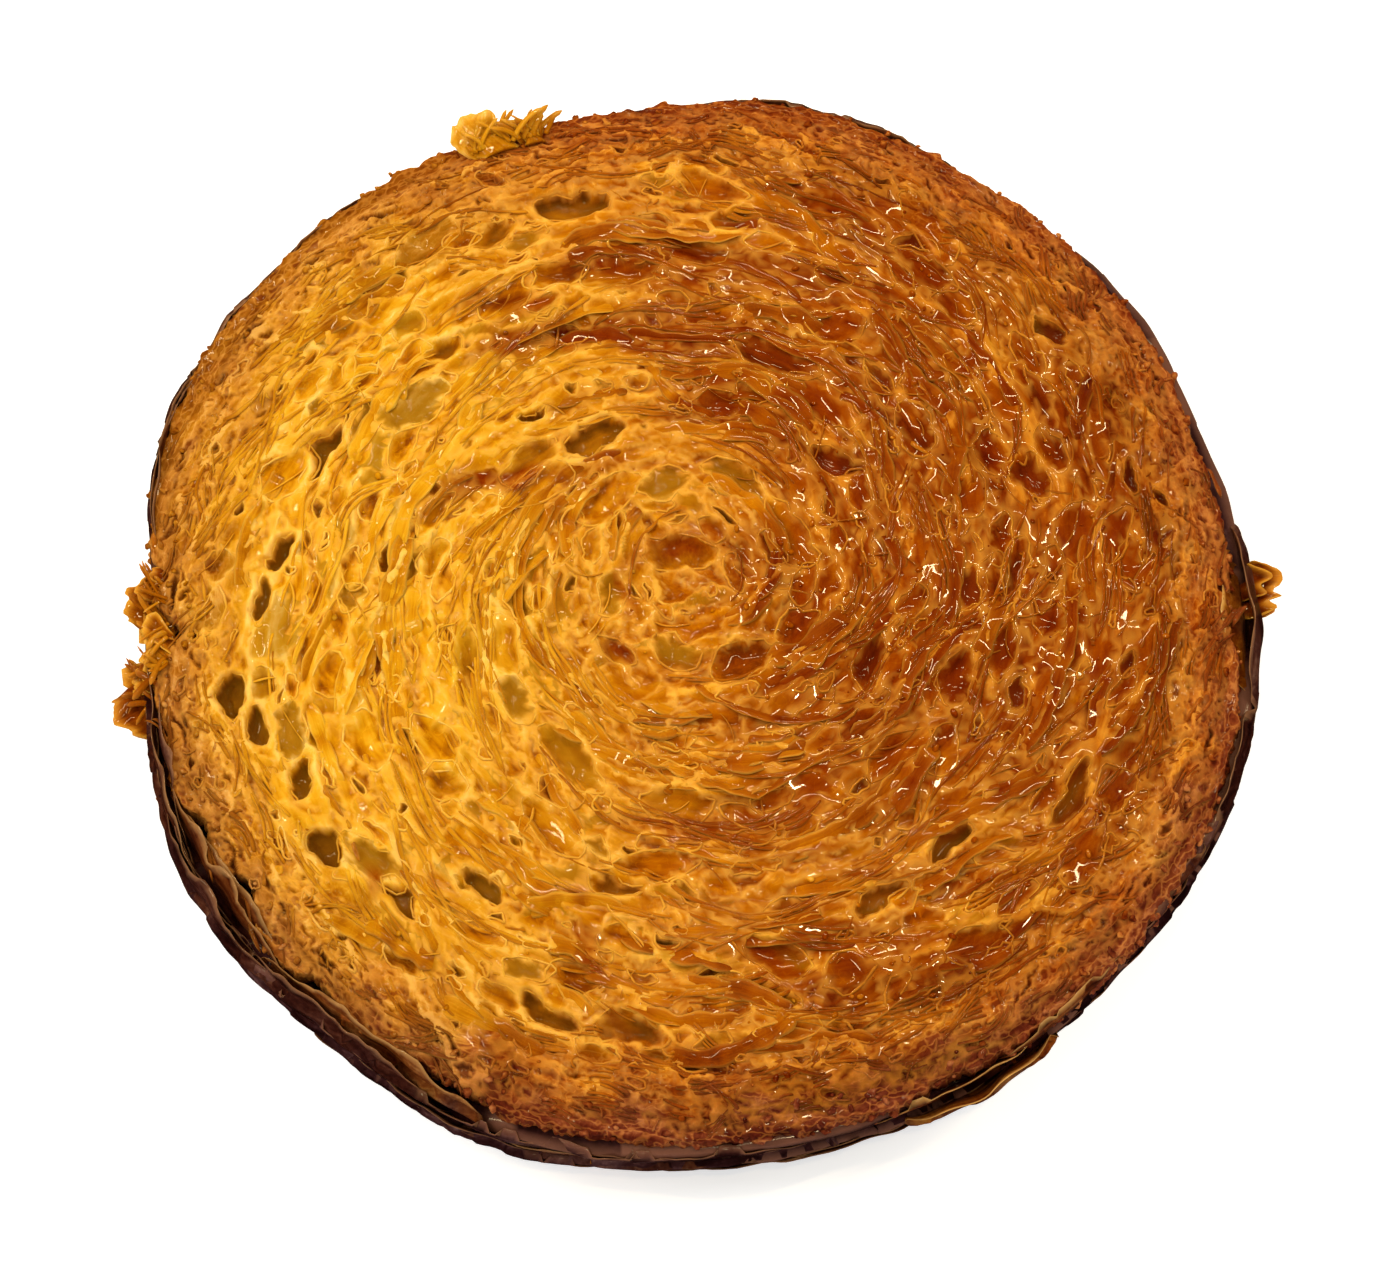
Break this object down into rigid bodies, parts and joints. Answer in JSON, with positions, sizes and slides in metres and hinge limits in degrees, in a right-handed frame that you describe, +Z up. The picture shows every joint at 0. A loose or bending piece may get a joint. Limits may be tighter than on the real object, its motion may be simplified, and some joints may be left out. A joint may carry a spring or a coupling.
{
  "type": "caramelized croissant disc",
  "caption": "Round slice of a rolled laminated croissant with an open spiral crumb, caramelized on its cut face, and a browned layered crust.",
  "frame": {"origin": "middle of the flat base, on the surface that the disc lies on", "axes": "+Z up through the cut face; +X to the right and -Y towards the viewer of the picture"},
  "size_m": [0.116, 0.1118, 0.0146],
  "materials": {
    "caramelized_crumb": "baked laminated crumb with a glossy caramel glaze, browned at the crust"
  },
  "bodies": {
    "root": {"croissant_disc": "caramelized_crumb"}
  },
  "joints": []
}
